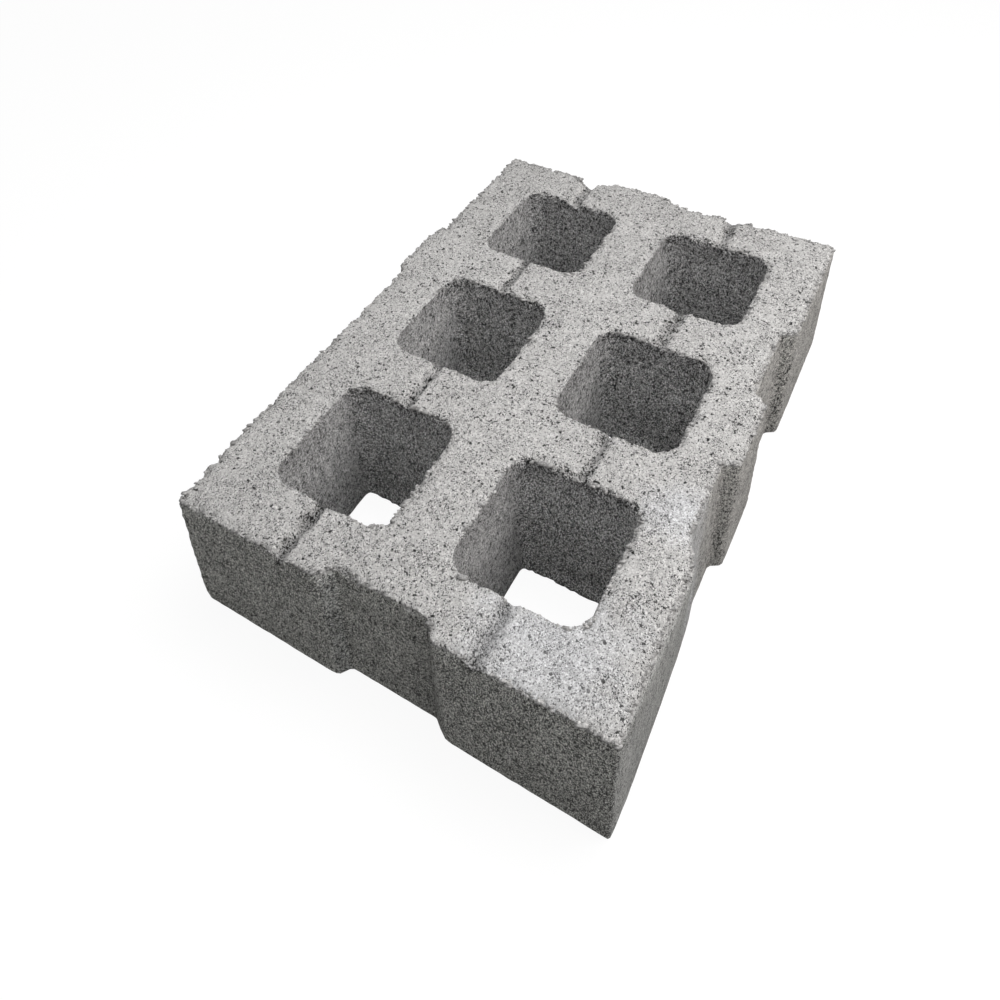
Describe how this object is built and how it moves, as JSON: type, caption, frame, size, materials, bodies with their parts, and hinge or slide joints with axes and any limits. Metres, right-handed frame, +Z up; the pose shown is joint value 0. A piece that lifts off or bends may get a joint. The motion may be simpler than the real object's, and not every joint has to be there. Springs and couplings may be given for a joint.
{
  "type": "grass paver block",
  "caption": "Cast lattice paving slab with tapered square through cells for soil and grass, interlocking edge keys and recesses, and shallow water grooves across its webs",
  "frame": {"origin": "middle of the slab's bed face, between the end faces and between the side faces, keys not counted", "axes": "+X along the length towards the end with the key, +Y across towards the side with the keys, +Z up, out of the grooved top face"},
  "size_m": [0.61, 0.41, 0.14],
  "materials": {
    "concrete": "open-pored dry-cast concrete, matt, fine grained"
  },
  "bodies": {
    "root": {"grass_paver_block": "concrete"}
  },
  "joints": []
}
